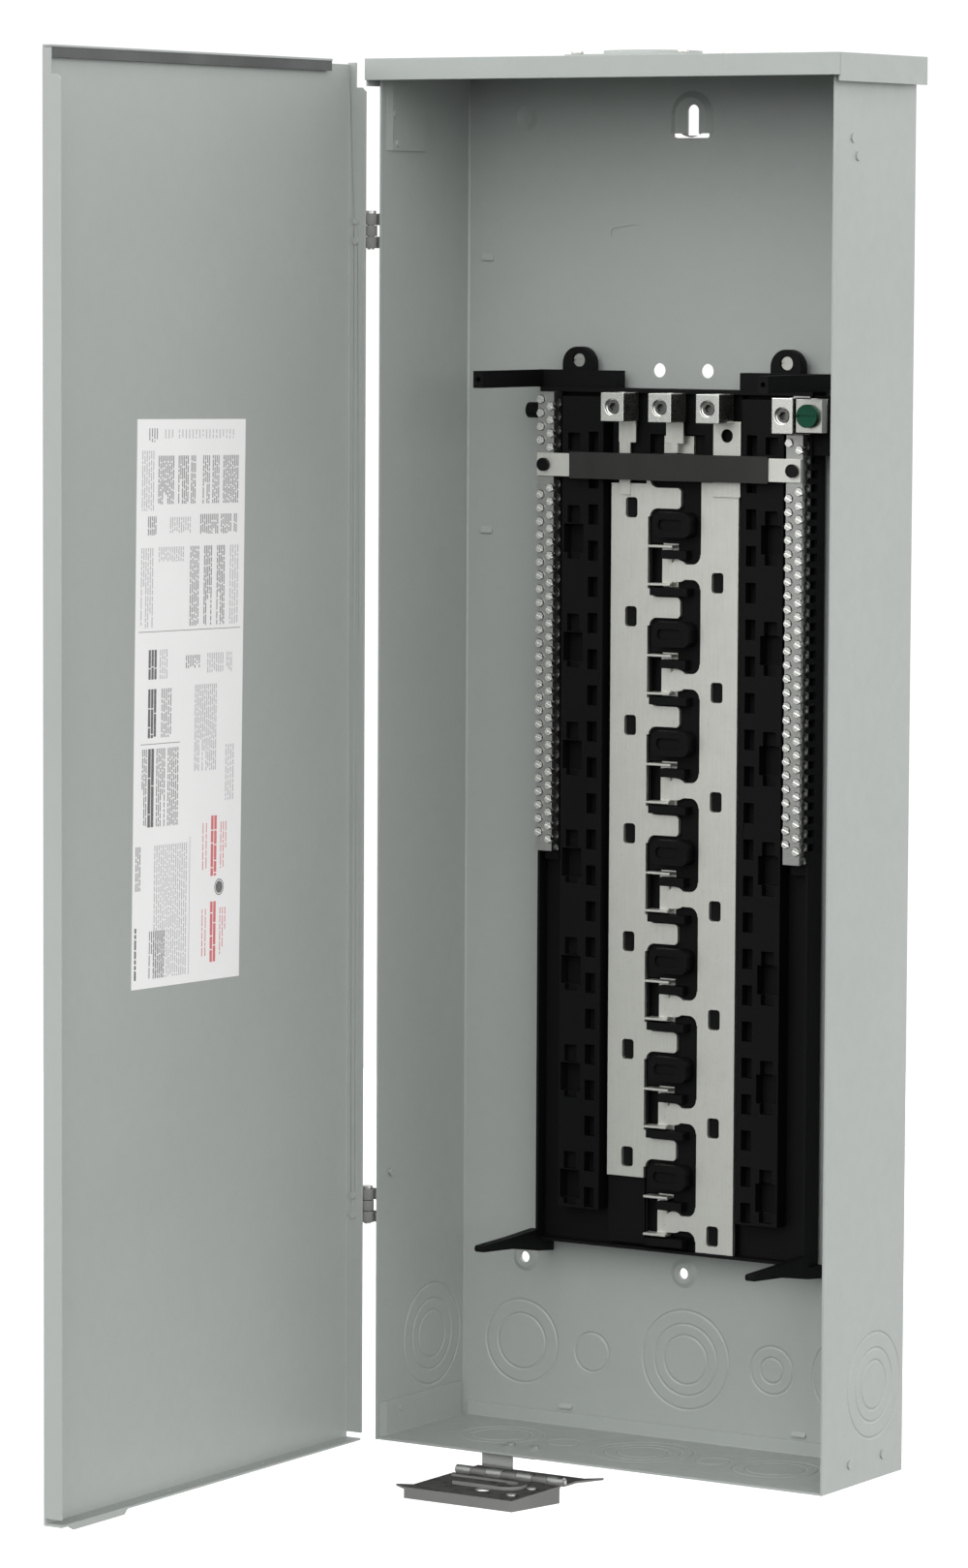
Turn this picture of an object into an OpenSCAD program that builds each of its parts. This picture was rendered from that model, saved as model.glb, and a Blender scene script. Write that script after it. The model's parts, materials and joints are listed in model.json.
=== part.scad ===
// Outdoor load-centre enclosure (subpanel) with its bus interior and hinged door.
// Millimetres. +X right, +Y into the wall, +Z up. The origin is the centre of the
// rear mounting face. Modules draw with Z counted from the bottom of the box, and
// frame() moves that to the origin. The door is drawn closed and turned to door_open.

/* [Enclosure] */
// Width of the box
box_w = 363; // [360:1:380]
// Height of the box under the rain cap
box_h = 969.7; // [968:0.1:980]
// Depth of the box, rear face to front edge
box_d = 114; // [110:1:120]
// Sheet thickness of the box and door
sheet = 1.5; // [1.2:0.1:1.8]
// Outside bend radius of the folded back pan
bend_r = 3; // [2:0.5:4]

/* [Rain cap] */
// How far the cap stands out past the front edge
cap_front = 8.4; // [7:0.1:10]
// How far the cap stands out past each side
cap_side = 7.3; // [5:0.1:9]
// Height of the cap's front lip
cap_front_lip = 15; // [12:0.5:18]
// Height of the cap's side lips
cap_side_lip = 19; // [15:0.5:22]

/* [Door] */
// Door angle from closed
door_open = 89; // [0:1:170]
// Width of the door
door_w = 366; // [362:1:368]
// Depth of the door's flanges
door_depth = 15; // [14:0.5:18]
// Height of a hinge
hinge_h = 24; // [20:1:30]

/* [Latch] */
// Width of the padlock latch under the box
latch_w = 88; // [70:1:95]
// Reach of the swinging flap
latch_reach = 68; // [55:1:72]

/* [Interior] */
// Pole pitch of the breakers
pole_pitch = 25.4; // [25:0.1:25.6]
// Sideways offset of the interior from the box centre
interior_x = 5; // [0:1:6]
// Half width of the interior base
base_half = 110; // [108:1:112]
// Groups of three poles along each bus bar
pole_groups = 7; // [4:1:7]
// Terminal rows on the left neutral bar
rows_left = 34; // [20:1:34]
// Terminal rows on the right neutral bar
rows_right = 31; // [20:1:31]

/* [Hidden] */
$fn = 48;
W2 = box_w/2;
t = sheet;
X0 = interior_x;
z_mid = 484.85;
cap_top = box_h + t;
// door
pin_x = -W2 - 7;
pin_y = -box_d - 0.5;
door_l = pin_x + 5;
door_r = door_l + door_w;
door_back = -box_d - 1;
door_face = door_back - door_depth + 0.4;
door_in = door_face + t;
door_top = cap_top - 0.9;
door_bot = -0.3;
cap_y = -box_d - cap_front;
hinge_z = [852, 166.8];
pin_r = 2.5;
run = 0.05;
// latch
lx = -56;
lp_y = -133;
lp_z = -9;
lp_r = 3.2;
lpin_r = 1.6;
// interior levels, as depths in front of the rear face
base_f = -14;
bus_b = -19.65;
bus_f = -22.65;
z_a = 667.7;
period = 3*pole_pitch;
grey = [0.60, 0.63, 0.61];
grey_in = [0.55, 0.58, 0.56];
black = [0.06, 0.06, 0.065];
tin = [0.80, 0.80, 0.78];
alu = [0.85, 0.85, 0.84];
dark = [0.30, 0.30, 0.31];
steel = [0.62, 0.63, 0.64];

module frame() translate([0, 0, -z_mid]) children();
module box3(a, b) translate(a) cube([b[0]-a[0], b[1]-a[1], b[2]-a[2]]);
// cylinders along the X and Y axes, from lo to hi
module cyl_y(x, z, r, lo, hi, fn = 48) translate([x, lo, z]) rotate([-90, 0, 0]) cylinder(r = r, h = hi-lo, $fn = fn);
module cyl_x(y, z, r, lo, hi, fn = 48) translate([lo, y, z]) rotate([0, 90, 0]) cylinder(r = r, h = hi-lo, $fn = fn);
module cyl_z(x, y, r, lo, hi, fn = 48) translate([x, y, lo]) cylinder(r = r, h = hi-lo, $fn = fn);
// plate drawn in X-Z and extruded along Y from lo to hi
module xz(lo, hi) translate([0, hi, 0]) rotate([90, 0, 0]) linear_extrude(hi-lo) children();
// plate drawn in Y-Z and extruded along X from lo to hi
module yz(lo, hi) translate([lo, 0, 0]) rotate([90, 0, 90]) linear_extrude(hi-lo) children();
module rrect(w, h, r) { square([w-2*r, h], center = true); square([w, h-2*r], center = true);
  for (i = [-1, 1], j = [-1, 1]) translate([i*(w/2-r), j*(h/2-r)]) circle(r); }
// scored ring of a knockout: a shallow V groove that starts at z = 0 and goes down the sheet
module vring(r) translate([0, 0, -0.5]) difference() { cylinder(r1 = r+0.3, r2 = r+1.7, h = 0.7); translate([0, 0, -0.1]) cylinder(r1 = r-0.1, r2 = r-1.7, h = 0.8); }
// rings cut into both faces of a sheet lying in X-Z
module score_y(x, z, radii, face_lo, face_hi) for (r = radii) {
  translate([x, face_lo, z]) rotate([90, 0, 0]) vring(r);
  translate([x, face_hi, z]) rotate([-90, 0, 0]) vring(r);
}
module score_x(y, z, radii, face_lo, face_hi) for (r = radii) {
  translate([face_hi, y, z]) rotate([0, 90, 0]) vring(r);
  translate([face_lo, y, z]) rotate([0, -90, 0]) vring(r);
}
module score_z(x, y, radii, face_lo, face_hi) for (r = radii) translate([x, y, face_hi]) vring(r);

rivet_right = [[-89.5, 915], [-82.7, 903], [-76.3, 15.4], [-30, 15.4]];
rivet_left = [[-95.5, 913], [-99.2, 933], [-99.2, 189.6], [-85.5, 18.9]];

// ---------- box ----------
// what a square corner loses to an arc of radius r, drawn at the upper right
module corner_off(r, out) difference() { square([r+out, r+out]); circle(r); }
module pan2d() difference() {
  translate([-W2, -box_d]) square([box_w, box_d]);
  for (m = [0, 1]) mirror([m, 0]) translate([W2-bend_r, -bend_r]) corner_off(bend_r, 1);
  difference() {
    translate([-W2+t, -box_d-1]) square([box_w-2*t, box_d-t+1]);
    for (m = [0, 1]) mirror([m, 0]) translate([W2-bend_r, -bend_r]) corner_off(bend_r-t, 1);
  }
}
// pressed boss with sloped sides, standing out of the rear wall by h
module boss(x, z, r, slope, h) translate([x, -t+0.01, z]) rotate([90, 0, 0]) cylinder(r1 = r, r2 = r-slope, h = h+0.01);
// small louvre: sheared along its lower edge, sloping back to the sheet above
module louvre(x, z, w, h, out) yz(x-w/2, x+w/2) polygon([[-t+0.1, z+h], [-t, z+h], [-t-out, z+0.6], [-t-out, z], [-t+0.1, z]]);
key_x = 4.2;
module back_pan() color(grey) frame() difference() {
  union() {
    linear_extrude(box_h) pan2d();
    // bosses round the keyhole and the lower wall holes
    boss(key_x, 933, 17, 4.5, 2.6);
    translate([key_x, 0, 920.5]) linear_extrude(12.5) polygon([[-17, -t+0.01], [-12.5, -t-2.6], [12.5, -t-2.6], [17, -t+0.01]]);
    for (x = [X0-132, X0, X0+132]) boss(x, 120.5, 10.5, 3.5, 1.8);
    // louvres
    for (x = [-92.6, 99.3]) louvre(x, 14, 11, 3.4, 1.7);
    for (z = [831.8, 638.4]) louvre(-163.4, z, 9.5, 5, 1.3);
  }
  // hollow behind the keyhole boss
  translate([key_x, 0.01, 933]) rotate([90, 0, 0]) cylinder(r1 = 16.5, r2 = 11.9, h = 2.61);
  translate([key_x, 0, 918]) linear_extrude(15) polygon([[-16.5, 0.01], [-11.9, -2.6], [11.9, -2.6], [16.5, 0.01]]);
  // keyhole: upright slot over a cross slot
  xz(-t-4, 1) { translate([6.6-4.4, 919]) square([8.8, 17]); translate([6.6, 936]) circle(4.4); }
  box3([key_x-13, -t-1, 917.4], [key_x+13, 1, 920.6]);
  // lower wall holes and spare holes
  for (x = [X0-132, X0, X0+132]) cyl_y(x, 120.5, 4, -t-3, 1);
  for (x = [-21, 18]) cyl_y(x, 756, 5, -t-1, 1);
  // blind dished knockouts in the upper corners
  for (x = [-131.5, 131.5]) { translate([x, -0.35, 932]) rotate([90, 0, 0]) cylinder(r1 = 3.6, r2 = 9.6, h = 1.35); }
  // oval mark
  xz(-t-0.5, -t+0.7) translate([-49, 852.3]) rotate([0, 0, 8]) rrect(25, 8, 3.9);
  // scored knockouts in the rear wall
  score_y(X0+1.7, 58.8, [35.3, 25.6, 17.5], -t, 0);
  score_y(X0+72, 58.3, [17, 9], -t, 0);
  score_y(X0-76, 56.6, [14], -t, 0);
  score_y(X0-135, 59, [30, 20], -t, 0);
  score_y(X0+135, 59, [30, 20], -t, 0);
  // scored knockouts in the sides
  for (f = [[W2-t, W2], [-W2, -W2+t]]) { score_x(-43.4, 65.5, [36.5, 25.5, 17], f[0], f[1]); }
  // rivet holes in the sides
  for (p = rivet_right) cyl_x(p[0], p[1], 1.7, W2-t-1, W2+1);
  for (p = rivet_left) cyl_x(p[0], p[1], 1.7, -W2-1, -W2+t+1);
}
// plate against a box side, s = 1 right or -1 left, with its front edge feathered
module side_plate(s, y0, y1, z0, z1) translate([0, 0, z0]) linear_extrude(z1-z0)
  polygon([[s*(W2-t-0.1), y0], [s*(W2-2*t-0.1), y0+7], [s*(W2-2*t-0.1), y1], [s*(W2-t-0.1), y1]]);
module bottom_wall() color(grey) frame() difference() {
  union() {
    box3([-W2+t+0.1, -box_d, 0], [W2-t-0.1, -t-1.6, t]);
    side_plate(-1, -box_d+3, -6, 0, 26);
    side_plate(1, -box_d+3, -6, 0, 26);
    box3([-W2+6, -2*t-0.1, 0], [W2-6, -t-0.1, 11]);
    box3([-W2+6, -2*t-0.1, 0], [W2-6, -t-1, t]);
  }
  for (x = [-112, 112]) score_z(x, -56, [30, 21], 0, t);
  score_z(X0, -56, [36, 27, 18], 0, t);
  for (x = [-60, 62]) score_z(x, -56, [12], 0, t);
  for (x = [-85, -65]) cyl_z(x, -88, 2.05, -1, t+1);
  for (p = rivet_right) if (p[1] < 40) cyl_x(p[0], p[1], 1.7, W2-2*t-2, W2);
  for (p = rivet_left) if (p[1] < 40) cyl_x(p[0], p[1], 1.7, -W2, -W2+2*t+2);
}
module rain_cap() color(grey) frame() difference() {
  union() {
    box3([-W2-cap_side, cap_y, box_h], [W2+cap_side, 0, cap_top]);
    box3([-W2-cap_side, cap_y, cap_top-cap_front_lip], [W2+cap_side, cap_y+t, cap_top]);
    for (s = [-1, 1]) box3([s > 0 ? W2+cap_side-t : -W2-cap_side, cap_y+t+0.4, cap_top-cap_side_lip], [s > 0 ? W2+cap_side : -W2-cap_side+t, 0, cap_top]);
    // inner flanges that the box sides rivet to
    side_plate(-1, -box_d+5, -60, box_h-62, box_h);
    side_plate(1, -box_d+5, -60, box_h-62, box_h);
  }
  cyl_z(8, -61, 32, box_h-1, cap_top+1);
  for (i = [-1, 1], j = [-1, 1]) cyl_z(8+i*42, -61+j*31, 2.1, box_h-1, cap_top+1);
  for (p = rivet_right) if (p[1] > 800) cyl_x(p[0], p[1], 1.7, W2-2*t-2, W2);
  for (p = rivet_left) if (p[1] > 800) cyl_x(p[0], p[1], 1.7, -W2, -W2+2*t+2);
}
module hub_closure_plate() color(grey) frame() difference() {
  union() {
    translate([8, -61, cap_top]) linear_extrude(1.6) rrect(100, 78, 6);
    cyl_z(8, -61, 34, cap_top+1.5, cap_top+4.4);
  }
  cyl_z(8, -61, 32.4, cap_top-1, cap_top+2.8);
  for (i = [-1, 1], j = [-1, 1]) cyl_z(8+i*42, -61+j*31, 2.1, cap_top-1, cap_top+3);
}
module hub_plate_screws() color(steel) frame() for (i = [-1, 1], j = [-1, 1]) difference() {
  union() { cyl_z(8+i*42, -61+j*31, 4.2, cap_top+1.6, cap_top+4); cyl_z(8+i*42, -61+j*31, 2, box_h-8, cap_top+1.7); }
  translate([8+i*42, -61+j*31, cap_top+3.6]) cube([6, 1.1, 1.6], center = true);
}
module shell_rivets() color(grey) frame() {
  for (p = rivet_right) { cyl_x(p[0], p[1], 3.1, W2, W2+1.1, 24); cyl_x(p[0], p[1], 1.6, W2-2*t-0.2, W2+0.1, 24); cyl_x(p[0], p[1], 2.6, W2-2*t-1.1, W2-2*t-0.1, 24); }
  for (p = rivet_left) { cyl_x(p[0], p[1], 3.1, -W2-1.1, -W2, 24); cyl_x(p[0], p[1], 1.6, -W2-0.1, -W2+2*t+0.2, 24); cyl_x(p[0], p[1], 2.6, -W2+2*t+0.1, -W2+2*t+1.1, 24); }
}

// ---------- hinges ----------
module box_leaf(zc) difference() {
  union() {
    box3([-W2-1.5, -box_d+2, zc-hinge_h/2], [-W2, -box_d+26, zc+hinge_h/2]);
    for (s = [-1, 1]) {
      lo = s < 0 ? zc-hinge_h/2 : zc+hinge_h/2-8; 
      cyl_z(pin_x, pin_y, 4.5, lo, lo+8);
      box3([pin_x, pin_y+3, lo], [-W2, pin_y+4.5, lo+8]);
    }
  }
  cyl_z(pin_x, pin_y, pin_r+run, zc-hinge_h/2-1, zc+hinge_h/2+1);
  for (s = [-1, 1]) cyl_x(-box_d+17, zc+s*7, 1.7, -W2-3, -W2+1);
}
module box_hinge_leaf_upper() color(dark) frame() box_leaf(hinge_z[0]);
module box_hinge_leaf_lower() color(dark) frame() box_leaf(hinge_z[1]);
module pin(zc) { cyl_z(pin_x, pin_y, pin_r, zc-hinge_h/2-1, zc+hinge_h/2+0.5); cyl_z(pin_x, pin_y, 3.8, zc+hinge_h/2+0.05, zc+hinge_h/2+2); }
module hinge_pin_upper() color(steel) frame() pin(hinge_z[0]);
module hinge_pin_lower() color(steel) frame() pin(hinge_z[1]);
module door_frame() frame() translate([pin_x, pin_y, 0]) rotate([0, 0, -door_open]) translate([-pin_x, -pin_y, 0]) children();
module door_leaf(zc) difference() {
  union() {
    box3([door_l-1.5, door_face+1.6, zc-hinge_h/2+0.4], [door_l, pin_y-3.5, zc+hinge_h/2-0.4]);
    cyl_z(pin_x, pin_y, 4.5, zc-hinge_h/2+8.3, zc+hinge_h/2-8.3);
    box3([pin_x, pin_y-4.5, zc-hinge_h/2+8.3], [door_l, pin_y-3, zc+hinge_h/2-8.3]);
  }
  cyl_z(pin_x, pin_y, pin_r+run, zc-hinge_h/2-1, zc+hinge_h/2+1);
  for (s = [-1, 1]) cyl_x(pin_y-8.2, zc+s*7, 1.5, door_l-3, door_l+1);
}
module door_hinge_leaf_upper() color(dark) door_frame() door_leaf(hinge_z[0]);
module door_hinge_leaf_lower() color(dark) door_frame() door_leaf(hinge_z[1]);
module door_rivets() color(dark) door_frame() for (zc = hinge_z, s = [-1, 1]) {
  cyl_x(pin_y-8.2, zc+s*7, 1.45, door_l-1.6, door_l+t+0.1, 24);
  cyl_x(pin_y-8.2, zc+s*7, 2.5, door_l-2.4, door_l-1.5, 24);
  cyl_x(pin_y-8.2, zc+s*7, 2.5, door_l+t, door_l+t+0.9, 24);
}

// ---------- door ----------
// side flanges step back near the top to clear the cap's lip
lip_z = cap_top - cap_side_lip - 1;
module side_flange(x) yz(x, x+t) polygon([[door_face, door_bot+5], [door_back, door_bot+5], [door_back, lip_z-3],
  [door_back-3, lip_z], [cap_y-0.6, lip_z], [cap_y-0.6, door_top-t-0.3], [door_face, door_top-t-0.3]]);
module door_panel() color(grey) door_frame() difference() {
  union() {
    // face, with the hinge-side top corner stepped down
    xz(door_face, door_in) polygon([[door_l, door_bot], [door_r, door_bot], [door_r, door_top], [door_l+31, door_top], [door_l+31, door_top-3], [door_l, door_top-3]]);
    side_flange(door_l);
    side_flange(door_r-t);
    box3([door_l+31, door_face, door_top-t], [door_r, cap_y-0.6, door_top]);
    box3([door_l+2, door_face, door_bot], [door_r, door_back, door_bot+t]);
    // turned-down pull tab under the free corner
    xz(door_back-t, door_back) polygon([[door_r-78, door_bot+t], [door_r-72, -3.6], [door_r-14, -3.6], [door_r-5, door_bot+t]]);
  }
  for (zc = hinge_z, s = [-1, 1]) cyl_x(pin_y-8.2, zc+s*7, 1.5, door_l-1, door_l+t+1);
  // two shallow drain notches in the bottom flange
  for (x = [door_l+117, door_l+231]) cyl_z(x, door_back-6, 1.6, door_bot-1, door_bot+t+1);
}
module door_top_seal() color(dark) door_frame() box3([door_l+31.5, door_in, door_top-t-6.8], [door_r-t-0.3, cap_y-1.0, door_top-t]);
module door_label() color([0.93, 0.93, 0.92]) door_frame() translate([door_l-5+204.5, 0, 534.5]) rotate([0, -1.1, 0]) box3([-64.5, door_in+0.02, -190.5], [64.5, door_in+0.25, 190.5]);

// ---------- padlock latch under the front edge ----------
lz0 = lp_z-lp_r;
lx0 = lx-latch_w/2;
lx1 = lx+latch_w/2;
kn = latch_w/7;
module latch_bracket() color(dark) frame() difference() {
  union() {
    box3([-97, -106.1, -2], [-53, -76, 0]);
    box3([-95.5, -108, lz0], [-71, -106, 0]);
    translate([0, 0, lz0]) linear_extrude(1.5) polygon([[lx0, -106], [lx1, -106], [lx1+10, -97], [lx1, -118], [lx1, -129], [lx0, -129]]);
    for (i = [0, 2, 4, 6]) { cyl_x(lp_y, lp_z, lp_r, lx0+i*kn, lx0+(i+1)*kn-0.3); box3([lx0+i*kn, lp_y, lz0], [lx0+(i+1)*kn-0.3, -128, lz0+1.5]); }
  }
  cyl_x(lp_y, lp_z, lpin_r+run, lx0-1, lx1+1);
  for (x = [-85, -65]) cyl_z(x, -88, 2.05, -3, 1);
}
module latch_pin() color(steel) frame() cyl_x(lp_y, lp_z, lpin_r, lx0-1.2, lx1+1);
module latch_flap() color(dark) frame() difference() {
  union() {
    translate([0, 0, lz0]) linear_extrude(1.5) polygon([[lx0, -138], [lx1, -138], [lx1, lp_y-latch_reach], [lx0, lp_y-latch_reach], [lx0-11, lp_y-latch_reach+7], [lx0, lp_y-latch_reach+12]]);
    for (i = [1, 3, 5]) { cyl_x(lp_y, lp_z, lp_r, lx0+i*kn, lx0+(i+1)*kn-0.3); box3([lx0+i*kn, -139, lz0], [lx0+(i+1)*kn-0.3, lp_y, lz0+1.5]); }
    // front and side lips, deeper towards the hinge
    box3([lx0, lp_y-latch_reach, lz0-6.3], [lx1, lp_y-latch_reach+1.5, lz0+1]);
    for (x = [lx0, lx1-1.5]) yz(x, x+1.5) polygon([[lp_y-latch_reach, lz0+1], [-139, lz0+1], [-139, lz0-10.5], [lp_y-latch_reach, lz0-6.3]]);
    // stiffening rib behind the slot
    box3([lx0+6, -149.8, lz0+1.4], [lx0+52, -146, lz0+3.2]);
  }
  cyl_x(lp_y, lp_z, lpin_r+run, lx0-1, lx1+1);
  translate([lx+6, -178, lz0-1]) cylinder(r = 5.5, h = 6);
  for (p = [[lx+34, -160], [lx+34, -186]]) cyl_z(p[0], p[1], 1.6, lz0-1, lz0+4);
}
module latch_hook() color([0.16, 0.16, 0.17]) frame() translate([0, 0, lz0+1.5]) linear_extrude(2.6) difference() {
  union() {
    translate([lx-22, -174]) square([38, 6]);
    translate([lx+16, -174+13]) difference() { circle(13); circle(7); translate([-14, -14]) square([14, 28]); }
    translate([lx+10, -154]) square([6, 6]);
  }
}
module latch_rivets() color(steel) frame() for (p = [[lx+34, -160], [lx+34, -186]]) {
  cyl_z(p[0], p[1], 3.4, lz0+1.5, lz0+2.7, 24); cyl_z(p[0], p[1], 1.5, lz0-0.1, lz0+1.6, 24); cyl_z(p[0], p[1], 3, lz0-1, lz0, 24); }
module latch_bracket_screws() color(steel) frame() for (x = [-85, -65]) {
  cyl_z(x, -88, 3.6, -4, -2, 24); cyl_z(x, -88, 2, -2.1, 3.2, 24); cyl_z(x, -88, 3.6, t, t+2.2, 6); }

// ---------- interior ----------
bz0 = 138;
bz1 = 743.5;
tab_z = 762.5;
module tab2d() { translate([-12, -17]) square([24, 17]); circle(12); }
module interior_base() color(black) frame() difference() {
  union() {
    box3([X0-base_half, base_f, bz0], [X0+base_half, -5, bz1]);
    // feet on the rear wall
    for (s = [-1, 1], z = [bz0+30, (bz0+bz1)/2, bz1-30]) box3([X0+s*84-14, -5.1, z-14], [X0+s*84+14, -t, z+14]);
    // rim and side walls
    for (s = [-1, 1]) box3([s > 0 ? X0+base_half-2 : X0-base_half, -24, bz0], [s > 0 ? X0+base_half : X0-base_half+2, base_f+1, bz1]);
    box3([X0-base_half, -24, bz0], [X0+base_half, base_f+1, bz0+2]);
    box3([X0-base_half, -24, bz1-3], [X0+base_half, base_f+1, bz1]);
    // pads under the bars
    for (s = [-1, 1]) box3([X0+s*37-15, bus_b, 142], [X0+s*37+15, base_f+1, 712]);
    for (s = [-1, 1]) box3([X0+s*100.5-6, -20, 410], [X0+s*100.5+6, base_f+1, 740]);
    // lug deck
    box3([X0-52, bus_b, 712], [X0+52, base_f+1, bz1-3]);
    // shoulders and ears
    for (s = [-1, 1]) box3([s > 0 ? X0+50 : X0-118, -20, bz1-0.1], [s > 0 ? X0+118 : X0-50, -8, bz1+12]);
    for (s = [-1, 1]) translate([X0+s*84+(s > 0 ? 0.5 : 0), 0, tab_z-2.5]) xz(-17, -8) tab2d();
    // peg on the left edge
    cyl_x(-19, 727, 5.5, X0-base_half-12, X0-base_half+1);
    box3([X0+base_half-1, -22, 700], [X0+base_half+20, -12, 741]);
  }
  for (s = [-1, 1]) { cyl_y(X0+s*84+1, tab_z, 3.2, -20, 0); cyl_y(X0+s*84+1, tab_z, 5.2, -20, -13.5); }
  // seat for the bonding bracket
  box3([X0+107.4, -25, 715.5], [X0+111, -22, 739.6]);
  // wire notches in the rims beside the neutral bars
  for (k = [0:rows_left-1]) if (735-k*9.525-2.4 < 733 && 735-k*9.525-2.4 > 424) box3([X0-base_half-1, -25, 735-k*9.525-5], [X0-base_half+3, -16, 735-k*9.525+0.2]);
  for (k = [0:rows_right-1]) if (708.5-k*9.525-2.4 < 698 && 708.5-k*9.525-2.4 > 424) box3([X0+base_half-3, -25, 708.5-k*9.525-5], [X0+base_half+1, -16, 708.5-k*9.525+0.2]);
}
module rail(s) difference() {
  box3([s > 0 ? X0+56 : X0-89.5, -27, bz0+26], [s > 0 ? X0+89.5 : X0-56, base_f, bz1-6]);
  // hook pockets, one per pole, and a deeper one at every third pole
  for (i = [0:21]) { z = z_a+38-i*pole_pitch; if (z > bz0+34) {
    box3([X0+s*64-4, -28, z-7], [X0+s*64+4, -19, z+7]);
    if (i % 3 != 1) box3([X0+s*80-5, -28, z-6], [X0+s*80+5, -21, z+6]); } }
  for (i = [0:7]) { z = 638-i*period+(s > 0 ? 3 : 0); if (z > bz0+40) box3([X0+s*80-8, -28, z-10], [X0+s*80+8, -17, z+10]); }
}
module breaker_rail_left() color(black) frame() rail(-1);
module breaker_rail_right() color(black) frame() rail(1);
module upper_post(s) difference() {
  box3([s > 0 ? X0+110 : X0-118, -99, bz1+0.2], [s > 0 ? X0+118 : X0-110, -20, bz1+12]);
  cyl_y(X0+s*114, bz1+6, 1.8, -100, -80, 24);
}
module lower_post(s) difference() {
  yz(s > 0 ? X0+106 : X0-113.5, s > 0 ? X0+113.5 : X0-106) polygon([[-99, 139.6], [-98, 138.6], [-60, 136], [-24.1, 130], [-5, 128], [-5, 137.9], [-24.1, 137.9], [-24.1, 146], [-60, 144.2], [-98, 143.2], [-99, 142.2]]);
  cyl_z(s > 0 ? X0+109.75 : X0-109.75, -93, 1.5, 130, 150, 24);
}
module support_post_upper_left() color(black) frame() upper_post(-1);
module support_post_upper_right() color(black) frame() upper_post(1);
module support_post_lower_left() color(black) frame() lower_post(-1);
module support_post_lower_right() color(black) frame() lower_post(1);

// ---------- bus ----------
zl_end = 189.5;
zr_end = 140.4;
module bus_plate(s, zlo, zhi, z1) xz(bus_f, bus_b) difference() {
  union() {
    translate([s > 0 ? X0+21.5 : X0-51.5, zlo]) square([30, zhi-zlo]);
    for (k = [0:pole_groups-1]) let (z = z1-k*period)
      if (s < 0) { translate([X0, 0]) mirror([1, 0]) tongue_wide(z); } else translate([X0, 0]) tongue_round(z);
  }
  for (k = [0:pole_groups-1]) translate([X0+s*35, z1-7-k*period]) rrect(9.5, 14.2, 2.4);
}
// tongues towards the centre, drawn for a bar on the right: root at x = 21.5, tip at x = -5
module tongue_wide(z) translate([0, z]) difference() {
  union() {
    translate([-2, -7.2]) square([25, 14.4]);
    translate([-5, -4.2]) square([6, 8.4]);
    for (j = [-1, 1]) translate([-2, j*4.2]) circle(3);
    translate([14, -13]) square([9, 26]);
  }
  for (j = [-1, 1]) translate([14, j*13.2]) circle(6);
}
module tongue_round(z) translate([0, z]) difference() {
  union() {
    translate([3.5, 0.4]) circle(7.6);
    translate([3.5, -5.4]) square([19.5, 10.6]);
    translate([-5, -7.2]) square([8.5, 5]);
    translate([15, -12]) square([8, 24]);
  }
  translate([14.5, 11.7]) circle(6.5);
  translate([14.5, -11.9]) circle(6.5);
}
module bus_bar_left() color(tin) frame() bus_plate(-1, zl_end, 677.5, z_a);
module bus_bar_right() color(tin) frame() bus_plate(1, zr_end, 679.3, z_a-2*pole_pitch);
module bus_bar_centre() color(tin) frame() box3([X0-12, -17.5, 176], [X0+12, -14.4, 711]);
module centre_stabs() color(tin) frame() for (k = [0:pole_groups-1]) {
  box3([X0-19, -27, z_a-33.4-k*period-0.8], [X0+0.5, -17.6, z_a-33.4-k*period+0.8]);
  box3([X0-19, -27, z_a-60-k*period-0.8], [X0-1, -17.6, z_a-60-k*period+0.8]);
  box3([X0-12, -18.9, z_a-60.8-k*period], [X0-4, -17.6, z_a-32.6-k*period]);
}
module centre_barrier() color(black) frame() difference() {
  union() {
    box3([X0-21, -19.3, 150], [X0+21, -17.9, 699]);
    for (k = [0:pole_groups-1]) {
      xz(-31, -19) translate([X0+2, z_a-18.2-k*period]) rrect(30, 17.5, 5.5);
      box3([X0-8, -27, z_a-42-k*period], [X0+12, -19, z_a-36-k*period]);
      box3([X0-16, -29, z_a-67.5-k*period], [X0+14, -19, z_a-62.2-k*period]);
    }
  }
  for (k = [0:pole_groups-1]) {
    box3([X0-20, -20, z_a-62-k*period], [X0+1.5, -17, z_a-31.5-k*period]);
    xz(-32, -29) translate([X0+1, z_a-18.2-k*period]) rrect(19, 7.5, 3);
  }
}
lug_x = [-38, 0.4, 38.8];
module link(x, w, zlo, hole) xz(bus_f-1.6, bus_f-0.05) difference() {
  union() { translate([X0+x-w/2, zlo]) square([w, 722-zlo]); translate([X0+lug_x[x < -10 ? 0 : x > 10 ? 2 : 1]-7, 706]) square([14, 34]); }
  if (hole > 0) translate([X0+x, 712]) circle(hole);
}
module bus_link_left() color(tin) frame() link(-40, 9, 669.5, 0);
module bus_link_centre() color(tin) frame() link(0, 5, 699.5, 0);
module bus_link_right() color(tin) frame() link(42.5, 22, 669.5, 4.6);
module lug(x, w, zlo, zhi) difference() {
  box3([x-w/2, -45, zlo], [x+w/2, -24.4, zhi]);
  cyl_z(x, -32.4, 6, zlo-1, zhi+1);
  cyl_y(x, (zlo+zhi)/2, 4.7, -46, -32);
  cyl_y(x, (zlo+zhi)/2, 5.6, -46, -43.4);
}
module main_lug_left() color(alu) frame() lug(X0+lug_x[0], 18.5, 721, 741);
module main_lug_centre() color(alu) frame() lug(X0+lug_x[1], 18.5, 721, 741);
module main_lug_right() color(alu) frame() lug(X0+lug_x[2], 18.5, 721, 741);
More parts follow.
